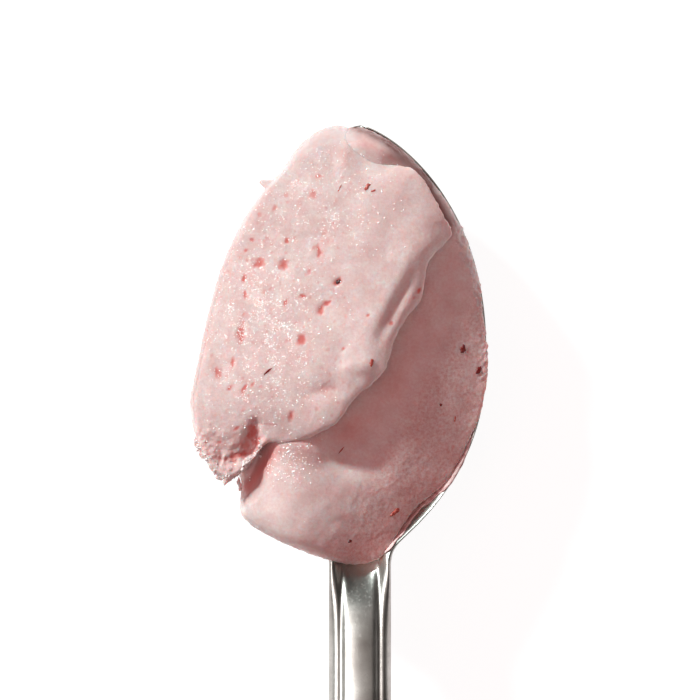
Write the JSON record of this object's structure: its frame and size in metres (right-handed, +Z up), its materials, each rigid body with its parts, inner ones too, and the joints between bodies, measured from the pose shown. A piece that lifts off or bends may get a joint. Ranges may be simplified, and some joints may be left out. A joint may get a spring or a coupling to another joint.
{
  "type": "strawberry sherbet",
  "caption": "Metal spoon lying bowl up, heaped with a rounded scoop of strawberry sherbet under a thick pressed slab with an overhanging lip.",
  "frame": {"origin": "middle of the flat spot under the spoon's bowl, on the surface it lies on", "axes": "+Y along the spoon towards the tip of the bowl, +Z up out of the bowl, +X to the right when the handle points towards the viewer"},
  "size_m": [0.0485, 0.205, 0.0248],
  "materials": {
    "sherbet": "frozen, finely grained, with small pores, fruit specks and icy glints",
    "spoon_metal": "polished and worn, with fine scratches and small pits"
  },
  "bodies": {
    "root": {"sherbet": "sherbet", "spoon": "spoon_metal"}
  },
  "joints": []
}
